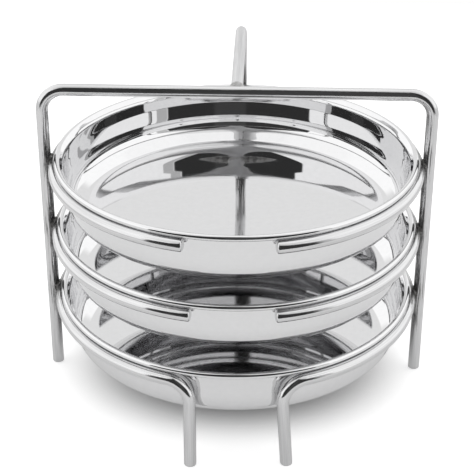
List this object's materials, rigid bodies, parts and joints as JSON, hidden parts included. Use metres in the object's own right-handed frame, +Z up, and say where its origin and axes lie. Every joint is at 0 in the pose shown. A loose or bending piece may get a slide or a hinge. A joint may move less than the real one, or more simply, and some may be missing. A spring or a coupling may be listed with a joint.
{
  "type": "idli steamer stand",
  "caption": "Free-standing round-wire stand with lift-out flat-bottomed steaming dishes stacked in open rings, carried by an arched bar.",
  "frame": {"origin": "centre of the whole part's footprint, on the floor plane the feet stand on", "axes": "+X to the right along the carrying bar, +Y to the rear leg, away from the open fronts of the rings, +Z up"},
  "size_m": [0.197, 0.1901, 0.1604],
  "materials": {
    "dish_steel": "polished",
    "wire_steel": "polished",
    "weld_steel": "matte"
  },
  "bodies": {
    "stand": {"arch": "wire_steel", "rear_leg": "wire_steel", "top_ring": "wire_steel", "middle_ring": "wire_steel", "bottom_ring": "wire_steel", "top_ring_welds": "weld_steel", "middle_ring_welds": "weld_steel", "bottom_ring_welds": "weld_steel", "handle_weld": "weld_steel"},
    "top_dish": {"top_dish": "dish_steel"},
    "middle_dish": {"middle_dish": "dish_steel"},
    "bottom_dish": {"bottom_dish": "dish_steel"}
  },
  "joints": [
    {"name": "top_dish_lift", "type": "slide", "parent": "stand", "child": "top_dish", "axis": [0, 0, 1], "range_m": [0, 0.026]},
    {"name": "middle_dish_lift", "type": "slide", "parent": "stand", "child": "middle_dish", "axis": [0, 0, 1], "range_m": [0, 0.012]},
    {"name": "bottom_dish_lift", "type": "slide", "parent": "stand", "child": "bottom_dish", "axis": [0, 0, 1], "range_m": [0, 0.012]}
  ]
}
